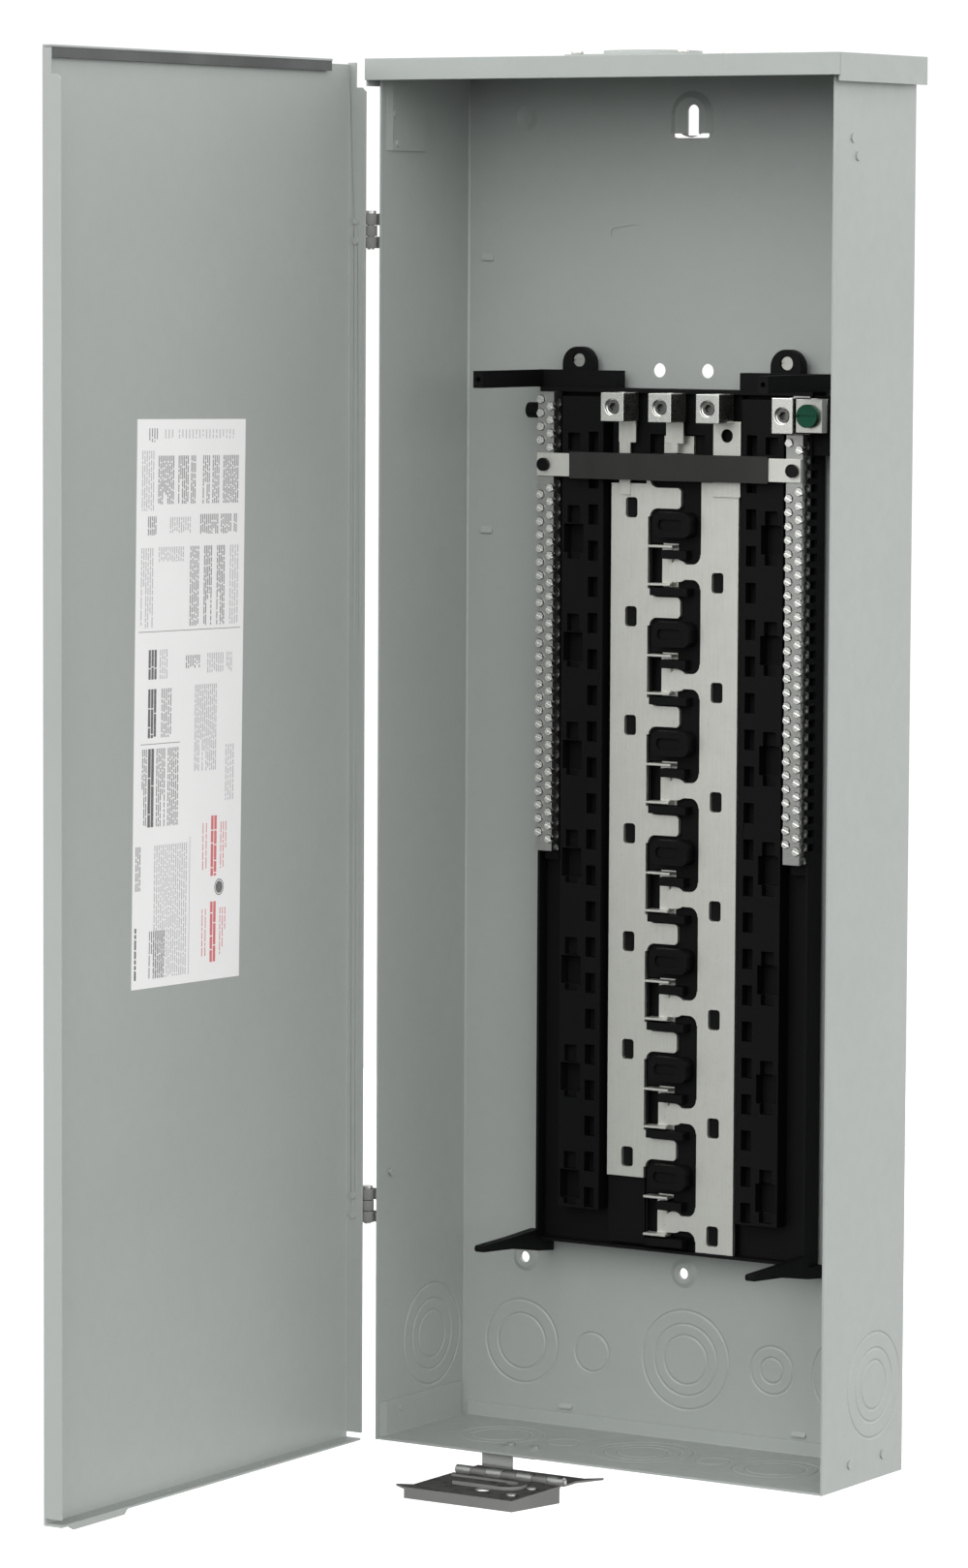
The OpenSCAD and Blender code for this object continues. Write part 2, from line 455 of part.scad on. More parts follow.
module set_screw(x, z) difference() { cyl_y(x, z, 4.6, -43.6, -38.6); cyl_y(x, z, 3.1, -45, -40, 6); }
module main_lug_screws() color(steel) frame() for (x = lug_x) set_screw(X0+x, 731);

// ---------- neutral ----------
nb_x = 100.5;
// rows of wire holes across the bar, with two staggered columns of clamp screws that break its edges
module neutral_bar(x, zlo, zhi, rows, ztop) difference() {
  box3([x-6.5, -31.4, zlo], [x+6.5, -20, zhi]);
  for (k = [0:rows-1]) cyl_x(-25.4, ztop-k*9.525-2.4, 3.2, x-8, x+8, 24);
  for (k = [0:rows-1], s = [-1, 1]) { z = ztop-k*9.525+(s > 0 ? -4.76 : 0); if (abs(z-689.5) > 12 && z > zlo+5) cyl_y(x+s*4.1, z, 3.25, -33, -29.6, 24); }
  cyl_y(x, 689.5, 2.6, -33, -26, 24);
}
module neutral_bar_left() color(tin) frame() neutral_bar(X0-nb_x, 417, 740.4, rows_left, 735);
module neutral_bar_right() color(tin) frame() { neutral_bar(X0+nb_x, 418, 714, rows_right, 708.5); box3([X0+nb_x-6.5, -22.2, 713.9], [X0+nb_x+6.5, -20, 740.4]); }
module terminals(x, rows, ztop, zlo) for (k = [0:rows-1], s = [-1, 1]) { z = ztop-k*9.525+(s > 0 ? -4.76 : 0); if (abs(z-689.5) > 12 && z > zlo+5)
  difference() { cyl_y(x+s*4.1, z, 2.75, -32.9, -29.6, 24); translate([x+s*4.1, -32.6, z]) rotate([0, 25, 0]) cube([7, 1.6, 0.9], center = true); } }
module terminal_screws_left() color(tin) frame() terminals(X0-nb_x, rows_left, 735, 417);
module terminal_screws_right() color(tin) frame() terminals(X0+nb_x, rows_right, 708.5, 418);
module neutral_strap() color(tin) frame() difference() {
  box3([X0-nb_x-6, -33.4, 681.4], [X0+nb_x+6, -31.4, 697.6]);
  for (s = [-1, 1]) cyl_y(X0+s*nb_x, 689.5, 2.6, -35, -30);
}
module strap_sleeve() color([0.17, 0.17, 0.18]) frame() difference() {
  box3([X0-79.5, -34.6, 680.2], [X0+81, -30.2, 698.8]);
  box3([X0-80.5, -33.45, 681.35], [X0+82, -31.35, 697.65]);
}
module strap_screws() color([0.12, 0.12, 0.13]) frame() for (s = [-1, 1]) { cyl_y(X0+s*nb_x, 689.5, 4.6, -36.4, -33.4); cyl_y(X0+s*nb_x, 689.5, 2.5, -33.5, -31.4, 24); }
module neutral_lug() color(alu) frame() lug2(X0+98, 16.5, 715, 739.5);
module lug2(x, w, zlo, zhi) difference() {
  box3([x-w/2, -45, zlo], [x+w/2, -22.3, zhi]);
  cyl_z(x, -32.4, 6, zlo-1, zhi+1);
  cyl_y(x, (zlo+zhi)/2, 4.7, -46, -32);
  cyl_y(x, (zlo+zhi)/2, 5.6, -46, -43.4);
}
module neutral_lug_screw() color(steel) frame() set_screw(X0+98, 727.25);
module bonding_bracket() color(tin) frame() difference() {
  union() {
    box3([X0+107.5, -42.5, 716], [X0+128, -41, 739]);
    box3([X0+107.5, -42.5, 716], [X0+109, -24.2, 739]);
    box3([X0+107.5, -24.2, 716], [X0+122, -22.1, 739]);
    box3([X0+126.5, -42.5, 716], [X0+128, -36, 739]);
  }
  cyl_y(X0+118, 727.5, 2.6, -45, -39);
  cyl_y(X0+118, 727.5, 2.6, -26, -20);
}
module bonding_screw() color([0.10, 0.42, 0.28]) frame() difference() {
  union() { cyl_y(X0+118, 727.5, 8, -46.5, -42.5); cyl_y(X0+118, 727.5, 2.5, -42.6, -22.2, 24); }
  box3([X0+111, -47, 726.7], [X0+125, -45.2, 728.3]);
}
module interior_mount_screws() color(steel) frame() for (s = [-1, 1]) difference() {
  union() { cyl_y(X0+s*84+1, tab_z, 4.6, -15.6, -13.5); cyl_y(X0+s*84+1, tab_z, 3, -13.6, -1.5, 24); }
  box3([X0+s*84-4.5, -16, tab_z-0.6], [X0+s*84+6.5, -14.6, tab_z+0.6]);
}

back_pan();
bottom_wall();
rain_cap();
hub_closure_plate();
hub_plate_screws();
shell_rivets();
box_hinge_leaf_upper();
box_hinge_leaf_lower();
hinge_pin_upper();
hinge_pin_lower();
door_panel();
door_top_seal();
door_label();
door_hinge_leaf_upper();
door_hinge_leaf_lower();
door_rivets();
latch_bracket();
latch_pin();
latch_flap();
latch_hook();
latch_rivets();
latch_bracket_screws();
interior_base();
breaker_rail_left();
breaker_rail_right();
support_post_upper_left();
support_post_upper_right();
support_post_lower_left();
support_post_lower_right();
centre_barrier();
bus_bar_left();
bus_bar_right();
bus_bar_centre();
centre_stabs();
bus_link_left();
bus_link_centre();
bus_link_right();
main_lug_left();
main_lug_centre();
main_lug_right();
main_lug_screws();
neutral_bar_left();
neutral_bar_right();
terminal_screws_left();
terminal_screws_right();
neutral_strap();
strap_sleeve();
strap_screws();
neutral_lug();
neutral_lug_screw();
bonding_bracket();
bonding_screw();
interior_mount_screws();
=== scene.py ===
# Outdoor load-centre enclosure with its bus interior and hinged door.
# Metres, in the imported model's frame: origin on the rear mounting face, +Y into the wall, +Z up.
import json
import math
import random

import bmesh
import bpy
from mathutils import Matrix, Vector


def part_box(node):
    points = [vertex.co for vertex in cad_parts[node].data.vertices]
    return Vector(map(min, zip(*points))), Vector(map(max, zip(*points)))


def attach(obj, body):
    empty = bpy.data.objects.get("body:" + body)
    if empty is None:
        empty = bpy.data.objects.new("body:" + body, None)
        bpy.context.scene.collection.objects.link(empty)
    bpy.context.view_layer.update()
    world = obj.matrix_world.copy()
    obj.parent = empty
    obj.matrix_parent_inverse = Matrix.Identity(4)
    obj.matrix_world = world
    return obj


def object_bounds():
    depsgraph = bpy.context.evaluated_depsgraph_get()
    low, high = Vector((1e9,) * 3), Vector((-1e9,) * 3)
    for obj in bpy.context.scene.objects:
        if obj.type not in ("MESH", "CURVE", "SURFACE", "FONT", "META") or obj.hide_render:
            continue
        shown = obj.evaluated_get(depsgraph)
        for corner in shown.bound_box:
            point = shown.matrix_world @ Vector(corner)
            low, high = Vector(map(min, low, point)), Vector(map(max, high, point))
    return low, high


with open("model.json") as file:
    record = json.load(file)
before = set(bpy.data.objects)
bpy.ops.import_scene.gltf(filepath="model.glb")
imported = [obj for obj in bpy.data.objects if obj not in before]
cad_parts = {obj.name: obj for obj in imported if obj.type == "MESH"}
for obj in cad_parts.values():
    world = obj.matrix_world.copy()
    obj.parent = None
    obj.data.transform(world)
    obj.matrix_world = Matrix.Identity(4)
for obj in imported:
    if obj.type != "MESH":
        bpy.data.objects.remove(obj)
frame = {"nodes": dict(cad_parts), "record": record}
cad_lo, cad_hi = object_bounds()
scene = bpy.context.scene
scene.view_settings.view_transform = "Standard"
scene.view_settings.look = "None"


# ------------------------------------------------------------------ camera
def make_camera():
    a, e, ro = math.radians(32.56), math.radians(4.92), math.radians(0.29)
    back = Vector((math.sin(a) * math.cos(e), -math.cos(a) * math.cos(e), math.sin(e)))
    right0 = Vector((math.cos(a), math.sin(a), 0))
    up0 = back.cross(right0)
    r = right0 * math.cos(ro) + up0 * math.sin(ro)
    u = up0 * math.cos(ro) - right0 * math.sin(ro)
    data = bpy.data.cameras.new("camera")
    data.sensor_width = 36.0
    data.lens = 143.22
    data.dof.use_dof = False
    data.clip_start, data.clip_end = 0.05, 100.0
    cam = bpy.data.objects.new("camera", data)
    m = Matrix((r, u, back)).transposed().to_4x4()
    m.translation = Vector((2.2281, -3.74879, 0.35636))
    cam.matrix_world = m
    scene.collection.objects.link(cam)
    scene.camera = cam


make_camera()


# ------------------------------------------------------------------ node helpers
def srgb(r, g, b):
    def lin(v):
        v /= 255.0
        return v / 12.92 if v <= 0.04045 else ((v + 0.055) / 1.055) ** 2.4
    return (lin(r), lin(g), lin(b), 1.0)


class Mat:
    """A procedural material: object coordinates feed noise, which drives colour, roughness and bump."""

    def __init__(self, name, metallic=0.0, specular=0.5, coat=0.0):
        self.m = bpy.data.materials.new(name)
        self.m.use_nodes = True
        self.t = self.m.node_tree
        self.t.nodes.clear()
        self.out = self.n("ShaderNodeOutputMaterial")
        self.b = self.n("ShaderNodeBsdfPrincipled")
        self.b.inputs["Metallic"].default_value = metallic
        self.b.inputs["Specular IOR Level"].default_value = specular
        self.b.inputs["Coat Weight"].default_value = coat
        self.l(self.b.outputs[0], self.out.inputs[0])
        self.obj = self.n("ShaderNodeTexCoord").outputs["Object"]

    def n(self, kind, **props):
        node = self.t.nodes.new(kind)
        for k, v in props.items():
            setattr(node, k, v)
        return node

    def l(self, a, b):
        self.t.links.new(a, b)

    def put(self, value, sock):
        if hasattr(value, "is_linked") or hasattr(value, "links"):
            self.l(value, sock)
        else:
            sock.default_value = value

    def coords(self, scale=(1, 1, 1), rot=(0, 0, 0), loc=(0, 0, 0)):
        mp = self.n("ShaderNodeMapping")
        self.l(self.obj, mp.inputs["Vector"])
        mp.inputs["Scale"].default_value = scale
        mp.inputs["Rotation"].default_value = rot
        mp.inputs["Location"].default_value = loc
        return mp.outputs[0]

    def noise(self, scale, detail=3.0, rough=0.55, stretch=(1, 1, 1), loc=(0, 0, 0), distortion=0.0):
        no = self.n("ShaderNodeTexNoise")
        self.l(self.coords(stretch, loc=loc), no.inputs["Vector"])
        no.inputs["Scale"].default_value = scale
        no.inputs["Detail"].default_value = detail
        no.inputs["Roughness"].default_value = rough
        no.inputs["Distortion"].default_value = distortion
        return no.outputs["Fac"]

    def voronoi(self, scale, feature="F1", stretch=(1, 1, 1)):
        v = self.n("ShaderNodeTexVoronoi", feature=feature)
        self.l(self.coords(stretch), v.inputs["Vector"])
        v.inputs["Scale"].default_value = scale
        return v.outputs["Distance"]

    def ramp(self, value, a, b, lo=0.0, hi=1.0):
        r = self.n("ShaderNodeMapRange")
        r.clamp = True
        self.put(value, r.inputs["Value"])
        r.inputs["From Min"].default_value = a
        r.inputs["From Max"].default_value = b
        r.inputs["To Min"].default_value = lo
        r.inputs["To Max"].default_value = hi
        return r.outputs[0]

    def math(self, op, a, b=0.0, clamp=False):
        m = self.n("ShaderNodeMath", operation=op)
        m.use_clamp = clamp
        self.put(a, m.inputs[0])
        self.put(b, m.inputs[1])
        return m.outputs[0]

    def mix(self, fac, a, b, blend="MIX"):
        m = self.n("ShaderNodeMix", data_type="RGBA", blend_type=blend)
        self.put(fac, m.inputs[0])
        self.put(a, m.inputs[6])
        self.put(b, m.inputs[7])
        return m.outputs[2]

    def bump(self, height, distance, strength=1.0, under=None):
        b = self.n("ShaderNodeBump")
        self.put(height, b.inputs["Height"])
        b.inputs["Distance"].default_value = distance
        b.inputs["Strength"].default_value = strength
        if under is not None:
            self.l(under, b.inputs["Normal"])
        return b.outputs[0]

    def facing(self, axis):
        """A component of the object-space normal, used to paint shade on upward faces."""
        tc = self.n("ShaderNodeTexCoord")
        s = self.n("ShaderNodeSeparateXYZ")
        self.l(tc.outputs["Normal"], s.inputs[0])
        return s.outputs[axis]

    def height(self):
        s = self.n("ShaderNodeSeparateXYZ")
        self.l(self.obj, s.inputs[0])
        return s.outputs[2]

    def set(self, colour=None, rough=None, normal=None):
        if colour is not None:
            self.put(colour, self.b.inputs["Base Color"])
        if rough is not None:
            self.put(rough, self.b.inputs["Roughness"])
        if normal is not None:
            self.l(normal, self.b.inputs["Normal"])
        return self.m


def paint_material(name, base, spread=0.035, rough=(0.36, 0.5), specular=0.5, top=1.0, above=None):
    """Sprayed grey enamel over sheet steel: orange peel, faint clouding, specks and hairline scuffs."""
    m = Mat(name, specular=specular)
    cloud = m.noise(5.0, 5, 0.6)
    fine = m.noise(95.0, 4, 0.6, loc=(3.1, 0.4, 1.7))
    speck = m.ramp(m.noise(620.0, 2, 0.5, loc=(0.2, 5.1, 2.2)), 0.69, 0.78)
    scuff = m.ramp(m.noise(150.0, 3, 0.5, stretch=(1.0, 1.0, 0.05), loc=(7, 2, 9)), 0.73, 0.82)
    scuff = m.math("MULTIPLY", scuff, m.ramp(m.noise(9.0, 2, 0.5, loc=(1, 8, 3)), 0.52, 0.66))
    dark = tuple(c * (1 - spread) for c in base[:3]) + (1,)
    light = tuple(min(1, c * (1 + spread)) for c in base[:3]) + (1,)
    col = m.mix(m.ramp(cloud, 0.3, 0.7), dark, light)
    col = m.mix(m.ramp(fine, 0.35, 0.75, 0.0, 0.28), col, tuple(c * 0.9 for c in base[:3]) + (1,))
    col = m.mix(m.math("MULTIPLY", speck, 0.35), col, tuple(min(1, c * 1.22) for c in base[:3]) + (1,))
    col = m.mix(m.math("MULTIPLY", scuff, 0.3), col, tuple(min(1, c * 1.3) for c in base[:3]) + (1,))
    if above is not None:
        # the upper part of the piece is coated like the box
        z = m.math("ADD", m.height(), m.ramp(fine, 0.3, 0.7, -0.0008, 0.0008))
        col = m.mix(m.ramp(z, above[0] - 0.0006, above[0] + 0.0006), col, above[1])
    if top < 1.0:
        # upward faces are darkened as painted shade, in patches set by noise
        upward_shade = m.math("MULTIPLY", m.ramp(m.facing(2), 0.45, 0.85), m.ramp(m.noise(120.0, 4, 0.7, loc=(9, 3, 5)), 0.38, 0.5, 1.0, 0.75))
        col = m.mix(upward_shade, col, tuple(c * top for c in base[:3]) + (1,))
    r = m.math("ADD", m.ramp(fine, 0.25, 0.75, rough[0], rough[1]), m.math("MULTIPLY", scuff, 0.12))
    peel = m.noise(700.0, 2, 0.5)
    wave = m.noise(7.0, 2, 0.4, loc=(4, 4, 4))
    n = m.bump(wave, 0.0012, 0.35)
    n = m.bump(peel, 0.00006, 0.55, n)
    return m.set(col, r, n)


def metal_material(name, base, rough=(0.28, 0.45), grain=(1, 1, 0.04), tarnish=0.12, grain_scale=900.0, specular=0.5):
    """Plated or bare metal with a directional grain, smudges and a little tarnish."""
    m = Mat(name, metallic=1.0, specular=specular)
    g = m.noise(grain_scale, 3, 0.6, stretch=grain)
    smudge = m.noise(38.0, 5, 0.62, loc=(2, 6, 1))
    spots = m.ramp(m.noise(240.0, 3, 0.6, loc=(5, 1, 4)), 0.6, 0.78)
    dark = tuple(c * (1 - tarnish) for c in base[:3]) + (1,)
    deep = tuple(c * (1 - 2.6 * tarnish) for c in base[:3]) + (1,)
    col = m.mix(m.ramp(smudge, 0.32, 0.7), base, dark)
    col = m.mix(m.math("MULTIPLY", spots, 0.5), col, deep)
    col = m.mix(m.ramp(g, 0.3, 0.75, 0.0, 0.22), col, deep)
    r = m.math("ADD", m.ramp(g, 0.25, 0.75, rough[0], rough[1]), m.ramp(smudge, 0.4, 0.8, 0.0, 0.1))
    n = m.bump(g, 0.00002, 0.5)
    return m.set(col, r, n)


def moulded_material(name, base, rough=(0.42, 0.58), specular=0.3, tex=1400.0, depth=0.00004, dust=0.25):
    """Moulded thermoset: fine spark-eroded texture, flow marks and a trace of dust."""
    m = Mat(name, specular=specular)
    t = m.noise(tex, 2, 0.5)
    flow = m.noise(22.0, 4, 0.6, stretch=(1, 1, 0.35))
    d = m.ramp(m.noise(260.0, 4, 0.65, loc=(1, 2, 3)), 0.58, 0.8)
    col = m.mix(m.ramp(flow, 0.3, 0.7), tuple(c * 0.8 for c in base[:3]) + (1,), tuple(c * 1.25 for c in base[:3]) + (1,))
    col = m.mix(m.math("MULTIPLY", d, dust), col, tuple(min(1, c * 2.4 + 0.004) for c in base[:3]) + (1,))
    r = m.math("ADD", m.ramp(flow, 0.3, 0.7, rough[0], rough[1]), m.math("MULTIPLY", d, 0.08))
    n = m.bump(t, depth, 0.6)
    return m.set(col, r, n)


def paper_material(name, base):
    m = Mat(name, specular=0.35)
    fibre = m.noise(900.0, 3, 0.6, stretch=(1, 1, 0.4))
    cloud = m.noise(18.0, 3, 0.5)
    col = m.mix(m.ramp(cloud, 0.3, 0.7), tuple(c * 0.975 for c in base[:3]) + (1,), base)
    col = m.mix(m.ramp(fibre, 0.45, 0.75, 0, 0.25), col, tuple(c * 0.93 for c in base[:3]) + (1,))
    r = m.ramp(fibre, 0.3, 0.7, 0.42, 0.58)
    n = m.bump(fibre, 0.00003, 0.4)
    n = m.bump(cloud, 0.0006, 0.25, n)
    return m.set(col, r, n)


def ink_material(name, base, paper, cover=(0.7, 1.0)):
    """Printing ink with slightly uneven cover, so that the paper shows through."""
    m = Mat(name, specular=0.3)
    g = m.noise(1500.0, 2, 0.6)
    col = m.mix(m.ramp(g, 0.3, 0.7, cover[0], cover[1]), paper, base)
    r = m.ramp(g, 0.3, 0.7, 0.35, 0.5)
    return m.set(col, r, m.bump(g, 0.00001, 0.3))


PAINT = paint_material("paint", srgb(161, 166, 163))
# top=0.12 paints shade on the upward faces of these parts, such as the latch flap's top
DARK_STEEL = paint_material("dark_steel", srgb(124, 124, 122), spread=0.12, rough=(0.55, 0.7), specular=0.08, top=0.12)
STEM = paint_material("latch_bracket_steel", srgb(124, 124, 122), spread=0.1, rough=(0.55, 0.7), specular=0.08, top=0.12,
                      above=(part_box("latch_flap")[1].z - 0.003, srgb(168, 171, 168)))
BLACK_OXIDE = metal_material("black_oxide", srgb(38, 38, 39), rough=(0.3, 0.45), tarnish=0.2, grain=(1, 1, 1))
BAR = metal_material("neutral_bar_alloy", srgb(178, 179, 176), rough=(0.3, 0.46), tarnish=0.16, grain=(0.06, 1, 1))
SET_SCREW = metal_material("set_screw_steel", srgb(122, 122, 120), rough=(0.3, 0.42), tarnish=0.2, grain=(1, 1, 1))
SCREW = metal_material("terminal_screw_plate", srgb(240, 240, 236), rough=(0.2, 0.34), tarnish=0.1, grain=(1, 1, 1))
STEEL = metal_material("steel", srgb(205, 205, 200), rough=(0.25, 0.4), tarnish=0.12, grain=(1, 1, 1))
PLASTIC = moulded_material("black_plastic", srgb(11, 11, 12), rough=(0.5, 0.64), specular=0.12)
BUS = metal_material("tin_bus", srgb(222, 222, 216), rough=(0.42, 0.58), tarnish=0.08)
LUG = metal_material("lug_metal", srgb(228, 228, 223), rough=(0.2, 0.32), tarnish=0.08, grain=(1, 1, 1))
SLEEVE = moulded_material("sleeve_plastic", srgb(43, 43, 42), rough=(0.36, 0.48), specular=0.25)
GREEN = metal_material("green_screw", srgb(40, 84, 66), rough=(0.36, 0.52), grain=(1, 1, 1))
SEAL = moulded_material("seal_rubber", srgb(84, 86, 85), rough=(0.6, 0.75), specular=0.3)
PAPER_RGB = srgb(238, 237, 237)
PAPER = paper_material("label_paper", PAPER_RGB)
INK = ink_material("label_ink", srgb(108, 108, 112), PAPER_RGB)
INK_PALE = ink_material("label_ink_pale", srgb(176, 176, 179), PAPER_RGB)
INK_DARK = ink_material("label_ink_dark", srgb(58, 58, 62), PAPER_RGB)
INK_RED = ink_material("label_ink_red", srgb(206, 78, 84), PAPER_RGB)

SLOTS = {"paint": PAINT, "dark_steel": DARK_STEEL, "steel": STEEL, "black_plastic": PLASTIC, "tin_bus": BUS,
         "lug_metal": LUG, "sleeve_plastic": SLEEVE, "green_screw": GREEN, "seal_rubber": SEAL, "label_paper": PAPER}
slot_of = {}
for entry in frame["record"]["materials"]:
    for n in entry.get("nodes", entry.get("subparts", [])):
        slot_of[n] = entry["slot"]
if not slot_of:
    for n, o in frame["nodes"].items():
        for ms in o.material_slots:
            if ms.material is not None:
                slot_of[n] = ms.material.name.split(".")[0]

SPECIAL = {"latch_bracket": STEM, "main_lug_screws": SET_SCREW, "neutral_lug_screw": SET_SCREW,
           "strap_screws": BLACK_OXIDE, "neutral_bar_left": BAR, "neutral_bar_right": BAR,
           "terminal_screws_left": SCREW, "terminal_screws_right": SCREW}
for n, o in frame["nodes"].items():
    mat = SPECIAL.get(n) or SLOTS.get(slot_of.get(n), PAINT)
    o.data.materials.clear()
    o.data.materials.append(mat)


# ------------------------------------------------------------------ pieces
def new_mesh_object(name, bm, material, body=None):
    me = bpy.data.meshes.new(name)
    bm.to_mesh(me)
    bm.free()
    me.materials.append(material)
    o = bpy.data.objects.new(name, me)
    scene.collection.objects.link(o)
    if body:
        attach(o, body)
    return o


# ------------------------------------------------------------------ printed sheet on the door
def label_frame():
    """Origin, across (towards the hinge), down and outward unit vectors, and the size of the paper's outer face."""
    me = frame["nodes"]["door_label"].data
    outward = max((p.normal.copy() * p.area for p in me.polygons if p.normal.x > 0.5), key=lambda v: v.length).normalized()
    level = max(v.co.dot(outward) for v in me.vertices)
    pts = {tuple(round(c, 6) for c in v.co): v.co.copy() for v in me.vertices if v.co.dot(outward) > level - 2e-5}
    pts = list(pts.values())
    top = sorted(pts, key=lambda p: -p.z)[:2]
    low = sorted(pts, key=lambda p: p.z)[:2]
    tl, tr = sorted(top, key=lambda p: p.y)
    bl = min(low, key=lambda p: p.y)
    across, down = (tr - tl), (bl - tl)
    return tl, across.normalized(), down.normalized(), outward, across.length, down.length


def make_label_print():
    o, ex, ey, n, w, h = label_frame()
    rng = random.Random(11)
    sheets = {}

    def quad(mat, u0, u1, v0, v1, lift=0.00005):
        bm = sheets.setdefault(mat.name, (bmesh.new(), mat))[0]
        vs = [bm.verts.new(o + ex * u + ey * v + n * lift) for u, v in ((u0, v0), (u0, v1), (u1, v1), (u1, v0))]
        bm.faces.new(vs)

    def text(mat, u0, u1, v0, v1, pitch=0.0024, thick=0.0011, full=0.9, word=(0.002, 0.0085), gap=0.0009):
        """Columns of word-like dashes running down the sheet, as turned print does, with ragged ends."""
        u0, u1, v0, v1 = u0 * w, u1 * w, v0 * h, v1 * h
        rows = max(1, int((u1 - u0) / pitch))
        for k in range(rows):
            u = u0 + (k + 0.5) * (u1 - u0) / rows
            if rows > 3 and rng.random() < 0.06:
                continue
            end = v0 + (v1 - v0) * (1.0 if rng.random() < full else rng.uniform(0.45, 0.85))
            v = v0
            while v < end - 0.001:
                length = min(rng.uniform(*word), end - v)
                quad(mat, u - thick / 2, u + thick / 2, v, v + length)
                v += length + gap

    def rule(mat, u0, u1, v0, v1):
        quad(mat, u0 * w, u1 * w, v0 * h, v1 * h)

    pale, mid, dark, red = INK_PALE, INK, INK_DARK, INK_RED
    text(mid, .10, .19, .016, .040)
    text(pale, .24, .90, .018, .034, pitch=0.004)
    text(mid, .19, .54, .064, .149, pitch=0.0021)
    text(mid, .60, .76, .064, .149, pitch=0.0021)
    text(mid, .79, .94, .064, .149, pitch=0.0021)
    text(pale, .04, .16, .055, .160)
    text(mid, .10, .20, .170, .203, pitch=0.0021)
    text(pale, .30, .52, .172, .200)
    text(mid, .58, .93, .168, .203, pitch=0.0022)
    text(pale, .04, .16, .225, .365)
    text(pale, .20, .44, .224, .250)
    text(mid, .49, .58, .224, .365, pitch=0.0020)
    text(mid, .62, .70, .224, .365, pitch=0.0020)
    text(mid, .74, .82, .224, .365, pitch=0.0020)
    text(pale, .86, .95, .224, .365)
    rule(mid, .03, .97, .3715, .3728)
    text(dark, .12, .20, .404, .456, pitch=0.0034, thick=0.0026, word=(0.008, 0.02), gap=0.0007)
    text(pale, .22, .30, .404, .456)
    text(dark, .12, .20, .473, .559, pitch=0.0034, thick=0.0026, word=(0.008, 0.02), gap=0.0007)
    text(mid, .22, .34, .473, .559)
    text(mid, .46, .60, .417, .440)
    text(pale, .64, .90, .415, .450)
    text(pale, .55, .76, .470, .624, pitch=0.0021)
    text(pale, .84, .93, .580, .680)
    text(mid, .07, .12, .578, .716, pitch=0.0020)
    text(dark, .125, .185, .578, .716, pitch=0.0038, thick=0.0031, word=(0.012, 0.03), gap=0.0006)
    text(mid, .20, .41, .578, .716, pitch=0.0021)
    rule(mid, .06, .42, .569, .5703)
    text(mid, .02, .09, .749, .827, pitch=0.0021)
    text(pale, .19, .50, .749, .984, pitch=0.0024)
    text(mid, .15, .30, .900, .984, pitch=0.0024)
    text(dark, .015, .045, .892, .984, pitch=0.003, thick=0.0021)
    rule(mid, .52, .5235, .74, .985)
    # tinted strip with a plain dot between its halves
    for a, b in ((.706, .814), (.860, .968)):
        text(red, .715, .775, a, b, pitch=0.0038, thick=0.0030, word=(0.006, 0.016), gap=0.0008)
        text(red, .63, .69, a + .012, b - .012, pitch=0.0028, thick=0.0009)
        text(red, .80, .87, a + .012, b - .012, pitch=0.0028, thick=0.0009)
    bm = sheets.setdefault(dark.name, (bmesh.new(), dark))[0]
    c = o + ex * (.80 * w) + ey * (.835 * h)
    for r0, r1 in ((0.0, 0.0042), (0.0049, 0.0056)):
        steps = 36
        inner = [bm.verts.new(c + (ex * math.cos(t) + ey * math.sin(t)) * r0 + n * 0.00006) for t in
                 [2 * math.pi * k / steps for k in range(steps)]] if r0 else None
        outer = [bm.verts.new(c + (ex * math.cos(t) + ey * math.sin(t)) * r1 + n * 0.00006) for t in
                 [2 * math.pi * k / steps for k in range(steps)]]
        if inner is None:
            bm.faces.new(outer)
        else:
            for k in range(steps):
                j = (k + 1) % steps
                bm.faces.new((inner[k], inner[j], outer[j], outer[k]))
    for name, (bm, mat) in sheets.items():
        bmesh.ops.recalc_face_normals(bm, faces=bm.faces[:])
        for f in bm.faces:
            if f.normal.dot(n) < 0:
                f.normal_flip()
        new_mesh_object(name.replace("label_", "label_print_"), bm, mat, "door")


make_label_print()


# ------------------------------------------------------------------ folded and rolled edges on the CAD nodes
def soften(node, width, segments=2, angle=35.0):
    o = frame["nodes"][node]
    w = o.modifiers.new("weld", "WELD")
    w.merge_threshold = 0.000002
    b = o.modifiers.new("bevel", "BEVEL")
    b.width = width
    b.segments = segments
    b.limit_method = "ANGLE"
    b.angle_limit = math.radians(angle)
    b.use_clamp_overlap = True
    b.harden_normals = False
    b.miter_outer = "MITER_ARC"


for width, names in (
        (0.0004, ("back_pan", "bottom_wall", "rain_cap", "door_panel", "hub_closure_plate")),
        (0.0004, ("box_hinge_leaf_upper", "box_hinge_leaf_lower", "door_hinge_leaf_upper", "door_hinge_leaf_lower")),
        (0.0003, ("latch_bracket", "latch_flap", "latch_hook", "door_rivets", "shell_rivets", "latch_rivets")),
        (0.0005, ("interior_base", "centre_barrier", "support_post_upper_left", "support_post_upper_right",
                  "support_post_lower_left", "support_post_lower_right")),
        (0.0004, ("breaker_rail_left", "breaker_rail_right")),
        (0.0003, ("bus_bar_left", "bus_bar_right", "bus_bar_centre", "centre_stabs", "bus_link_left", "bus_link_centre",
                  "bus_link_right", "neutral_strap", "bonding_bracket")),
        (0.0006, ("main_lug_left", "main_lug_centre", "main_lug_right", "neutral_lug")),
        (0.0004, ("neutral_bar_left", "neutral_bar_right", "main_lug_screws", "neutral_lug_screw", "bonding_screw",
                  "interior_mount_screws", "strap_screws", "hub_plate_screws", "latch_bracket_screws")),
        (0.0008, ("strap_sleeve",))):
    for n in names:
        soften(n, width)


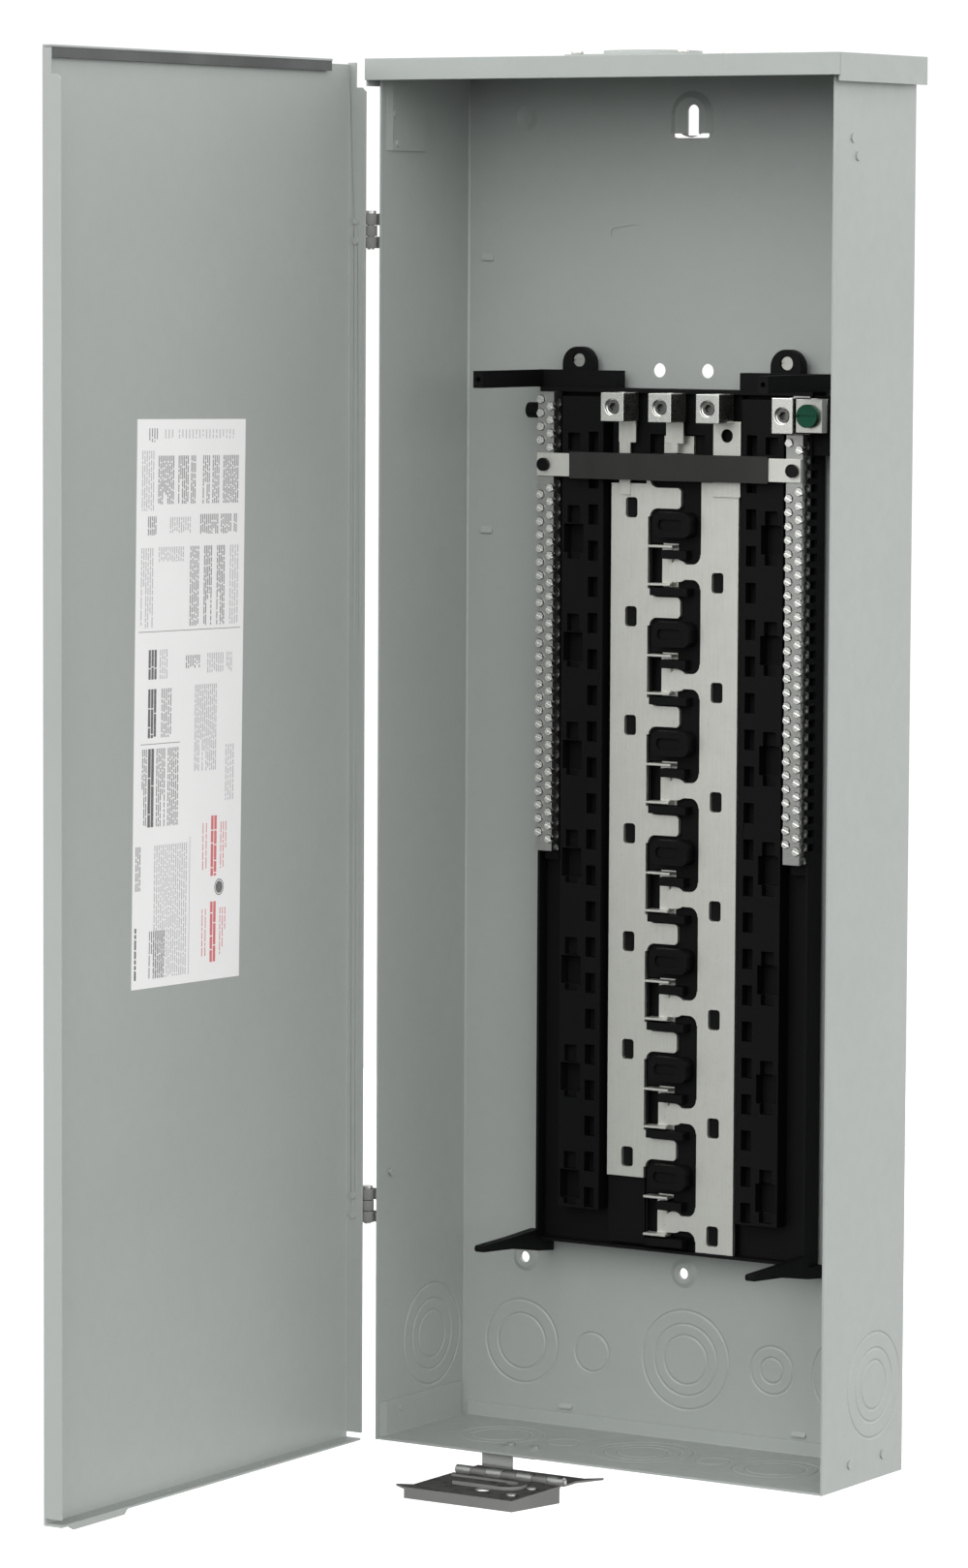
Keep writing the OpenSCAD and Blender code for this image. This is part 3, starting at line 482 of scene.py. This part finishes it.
# ------------------------------------------------------------------ stage and light
def make_stage():
    """A pale round floor that neither bounces nor blocks the studio light, which comes from the sky alone."""
    m = Mat("floor", specular=0.1)
    g = m.noise(3.0, 3, 0.5)
    m.set(m.mix(m.ramp(g, 0.3, 0.7), (0.93, 0.93, 0.93, 1), (0.96, 0.96, 0.96, 1)), 0.7)
    bm = bmesh.new()
    z, r, steps = cad_lo.z - 0.24, 4.0, 96
    bm.faces.new([bm.verts.new((r * math.cos(2 * math.pi * k / steps), r * math.sin(2 * math.pi * k / steps), z))
                  for k in range(steps)])
    o = new_mesh_object("floor", bm, m.m)
    o.visible_diffuse = o.visible_glossy = o.visible_transmission = o.visible_shadow = False


# soft studio sky: radiance by azimuth (front 0, +X side 90, back 180) in five bands, each from a sine of elevation
SKY = (
    (-1.00, {-180: 0.4, -90: 0.8, 0: 0.0, 90: 0.5}),
    (-0.35, {-180: 1.5, -135: 1.4, -90: 1.0, -45: 0.0, 0: 0.0, 45: 0.1, 90: 1.6, 135: 0.9}),
    (0.00, {-180: 1.8, -135: 0.7, -90: 1.6, -45: 2.5, 0: 2.7, 45: 2.3, 90: 3.4, 135: 1.3}),
    (0.50, {-180: 1.8, -90: 2.6, 0: 3.5, 90: 0.2}),
    (0.85, {-180: 0.3}),
)


def make_light():
    w = bpy.data.worlds.new("studio")
    w.use_nodes = True
    t = w.node_tree
    t.nodes.clear()

    def node(kind, **props):
        n = t.nodes.new(kind)
        for k, v in props.items():
            setattr(n, k, v)
        return n

    def math_node(op, a, b):
        n = node("ShaderNodeMath", operation=op)
        for sock, v in ((0, a), (1, b)):
            if isinstance(v, (int, float)):
                n.inputs[sock].default_value = v
            else:
                t.links.new(v, n.inputs[sock])
        return n.outputs[0]

    sep = node("ShaderNodeSeparateXYZ")
    t.links.new(node("ShaderNodeTexCoord").outputs["Generated"], sep.inputs[0])
    x, y, z = sep.outputs
    turn = math_node("ADD", math_node("MULTIPLY", math_node("ARCTAN2", x, math_node("MULTIPLY", y, -1.0)), 0.5 / math.pi), 0.5)
    top = 12.0
    total = None
    for level, stops in SKY:
        ramp = node("ShaderNodeValToRGB")
        cr = ramp.color_ramp
        items = sorted(stops.items()) + [(180, stops[-180])]
        while len(cr.elements) < len(items):
            cr.elements.new(0.5)
        for e, (az, v) in zip(cr.elements, [(k, v) for k, v in items]):
            e.position = (az + 180) / 360.0
        for e, (az, v) in zip(cr.elements, items):
            e.color = (v / top, v / top, v / top, 1)
        t.links.new(turn, ramp.inputs[0])
        if total is None:
            total = ramp.outputs[0]
        else:
            share = node("ShaderNodeMapRange", interpolation_type="SMOOTHSTEP")
            t.links.new(z, share.inputs["Value"])
            share.inputs["From Min"].default_value = level - 0.08
            share.inputs["From Max"].default_value = level + 0.08
            m = node("ShaderNodeMix", data_type="RGBA")
            t.links.new(share.outputs[0], m.inputs[0])
            t.links.new(total, m.inputs[6])
            t.links.new(ramp.outputs[0], m.inputs[7])
            total = m.outputs[2]
    lit = node("ShaderNodeBackground")
    t.links.new(total, lit.inputs["Color"])
    lit.inputs["Strength"].default_value = top * 0.94
    white = node("ShaderNodeBackground")
    white.inputs["Strength"].default_value = 1.05
    white.inputs["Color"].default_value = (1, 1, 1, 1)
    mix = node("ShaderNodeMixShader")
    t.links.new(node("ShaderNodeLightPath").outputs["Is Camera Ray"], mix.inputs[0])
    t.links.new(lit.outputs[0], mix.inputs[1])
    t.links.new(white.outputs[0], mix.inputs[2])
    t.links.new(mix.outputs[0], node("ShaderNodeOutputWorld").inputs[0])
    scene.world = w


make_stage()
make_light()
